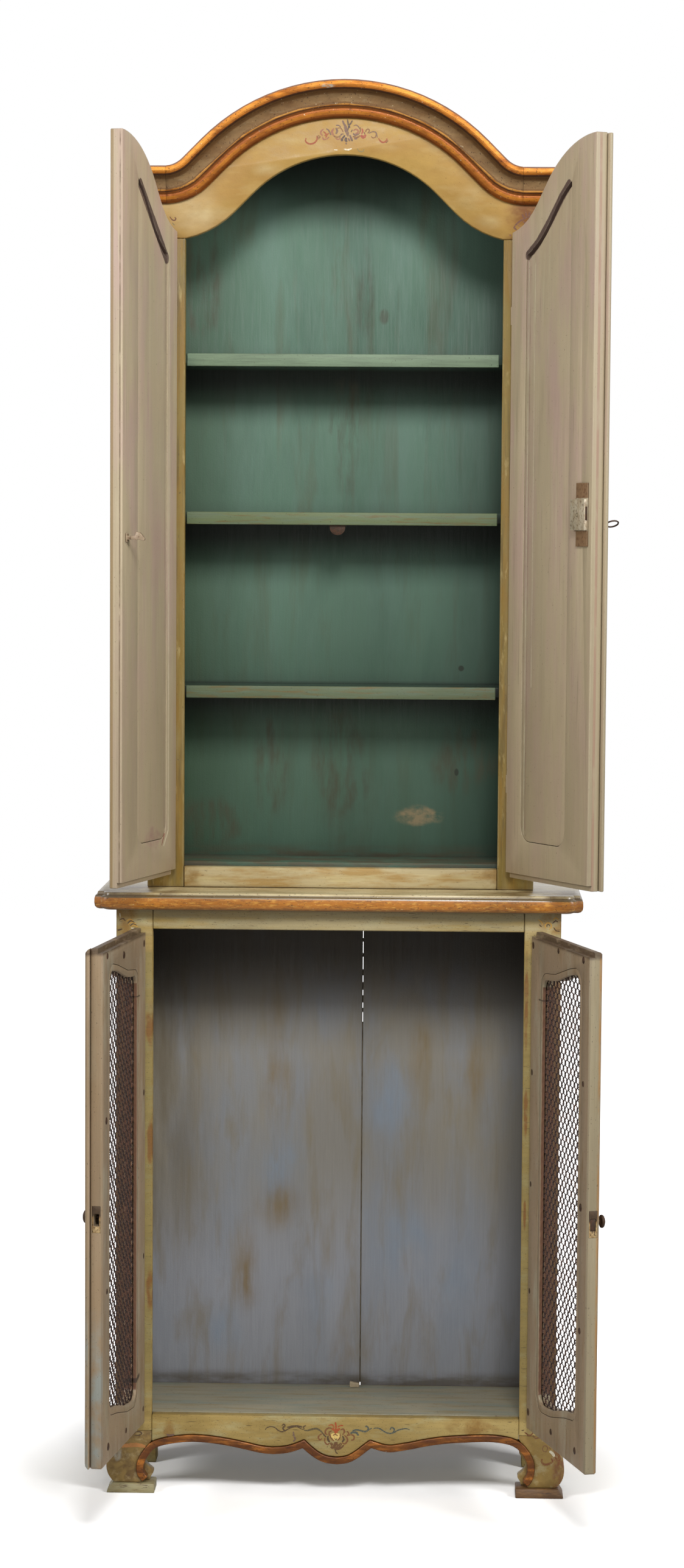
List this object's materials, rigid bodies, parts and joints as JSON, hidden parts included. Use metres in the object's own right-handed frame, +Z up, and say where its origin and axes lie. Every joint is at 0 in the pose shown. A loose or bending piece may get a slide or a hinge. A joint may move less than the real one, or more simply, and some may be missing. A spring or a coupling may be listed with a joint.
{
  "type": "two-part cupboard",
  "caption": "Tall two-part painted cupboard: arched upper case with shelves and solid doors, on a base with wire-net doors, scalloped apron and scroll feet.",
  "frame": {"origin": "on the floor, at the centre of the bounds in X and Y with the doors open as in the picture", "axes": "+Z up, -Y out of the front, +X to the right of someone facing the front"},
  "size_m": [0.818, 0.5566, 2.2473],
  "materials": {
    "aged cream paint": "satin paint, yellowed and worn, over wood",
    "blue grey paint": "matt paint with ochre streaks, over wood",
    "dark iron": "dark, slightly rusted",
    "glazed cream top": "glossy glazed paint with a gilt edge",
    "grey green floor paint": "matt worn paint",
    "grey green paint": "satin worn paint",
    "grey taupe paint": "satin paint, streaked",
    "painted lock": "pale painted steel, rusty at its edges",
    "rusty wire": "dark rusted wire",
    "taupe door paint": "satin paint, streaked",
    "teal paint": "satin paint with brown streaks",
    "worn gilding": "worn bronze gilding over wood",
    "yellow cream paint": "satin paint with ochre glaze"
  },
  "bodies": {
    "cabinet": {"apron": "aged cream paint", "apron_bead": "worn gilding", "base_back_board_left": "blue grey paint", "base_back_board_right": "blue grey paint", "base_floor": "grey green floor paint", "base_side_left": "aged cream paint", "base_side_right": "aged cream paint", "base_stile_left": "aged cream paint", "base_stile_right": "aged cream paint", "base_top": "glazed cream top", "base_top_rail": "aged cream paint", "catch_strike": "dark iron", "cornice_arch": "worn gilding", "cornice_return_left": "worn gilding", "cornice_return_right": "worn gilding", "foot_block_left": "aged cream paint", "foot_block_right": "aged cream paint", "front_foot_left": "aged cream paint", "front_foot_right": "aged cream paint", "rear_foot_left": "aged cream paint", "rear_foot_right": "aged cream paint", "shelf_facing_1": "grey green paint", "shelf_facing_2": "grey green paint", "shelf_facing_3": "grey green paint", "upper_arched_rail": "yellow cream paint", "upper_back": "teal paint", "upper_bottom_rail": "yellow cream paint", "upper_floor": "teal paint", "upper_roof": "teal paint", "upper_shelf_1": "teal paint", "upper_shelf_2": "teal paint", "upper_shelf_3": "teal paint", "upper_side_left": "yellow cream paint", "upper_side_right": "yellow cream paint", "upper_stile_left": "yellow cream paint", "upper_stile_right": "yellow cream paint"},
    "upper_left_door": {"elbow_catch_plate": "painted lock", "upper_left_door_frame": "taupe door paint", "upper_left_door_panel": "taupe door paint"},
    "elbow_catch": {"elbow_catch_lever": "painted lock"},
    "upper_right_door": {"upper_door_astragal": "taupe door paint", "upper_lock_case": "painted lock", "upper_right_door_frame": "taupe door paint", "upper_right_door_panel": "taupe door paint"},
    "key": {"upper_key": "dark iron"},
    "lock_bolt": {"upper_lock_bolt": "dark iron"},
    "lower_left_door": {"lower_door_astragal": "grey taupe paint", "lower_left_door_frame": "grey taupe paint", "lower_left_door_net": "rusty wire", "lower_left_door_retaining_bead": "grey taupe paint", "lower_left_knob": "dark iron", "lower_left_latch_plate": "dark iron"},
    "lower_right_door": {"lower_right_door_frame": "grey taupe paint", "lower_right_door_net": "rusty wire", "lower_right_door_retaining_bead": "grey taupe paint", "lower_right_latch_plate": "dark iron"},
    "turning_knob": {"lower_right_knob": "dark iron"},
    "latch_bolt": {"lower_latch_bolt": "dark iron"}
  },
  "joints": [
    {"name": "upper_left_door_hinge", "type": "hinge", "parent": "cabinet", "child": "upper_left_door", "pos_m": [-0.28875, 0.10527, 0], "axis": [0, 0, 1], "range_deg": [-14.8, 104.2]},
    {"name": "upper_right_door_hinge", "type": "hinge", "parent": "cabinet", "child": "upper_right_door", "pos_m": [0.24485, 0.10527, 0], "axis": [0, 0, 1], "range_deg": [-117.8, 2.7]},
    {"name": "lower_left_door_hinge", "type": "hinge", "parent": "cabinet", "child": "lower_left_door", "pos_m": [-0.33125, 0.03327, 0], "axis": [0, 0, 1], "range_deg": [-19.5, 97.5]},
    {"name": "lower_right_door_hinge", "type": "hinge", "parent": "cabinet", "child": "lower_right_door", "pos_m": [0.28735, 0.03327, 0], "axis": [0, 0, 1], "range_deg": [-105.6, 11.4]},
    {"name": "elbow_catch_tilt", "type": "hinge", "parent": "upper_left_door", "child": "elbow_catch", "pos_m": [-0.33974, -0.13538, 1.52997], "axis": [-0.2453, -0.9694, 0], "range_deg": [-6, 6]},
    {"name": "key_turn", "type": "hinge", "parent": "upper_right_door", "child": "key", "pos_m": [0.36853, -0.09609, 1.556], "axis": [-0.8846, -0.4664, 0], "range_deg": [0, 360]},
    {"name": "lock_bolt_slide", "type": "slide", "parent": "upper_right_door", "child": "lock_bolt", "axis": [0.4664, -0.8846, 0], "range_m": [0, 0.016]},
    {"name": "knob_turn", "type": "hinge", "parent": "lower_right_door", "child": "turning_knob", "pos_m": [0.37873, -0.23639, 0.50003], "axis": [-0.9632, -0.2689, 0], "range_deg": [0, 90]},
    {"name": "latch_bolt_slide", "type": "slide", "parent": "lower_right_door", "child": "latch_bolt", "axis": [0.2689, -0.9632, 0], "range_m": [0, 0.007]}
  ],
  "couplings": [
    {"joint": "key_turn", "follows": "lock_bolt_slide", "rad_per_m": 392.7},
    {"joint": "knob_turn", "follows": "latch_bolt_slide", "rad_per_m": 224.4}
  ]
}
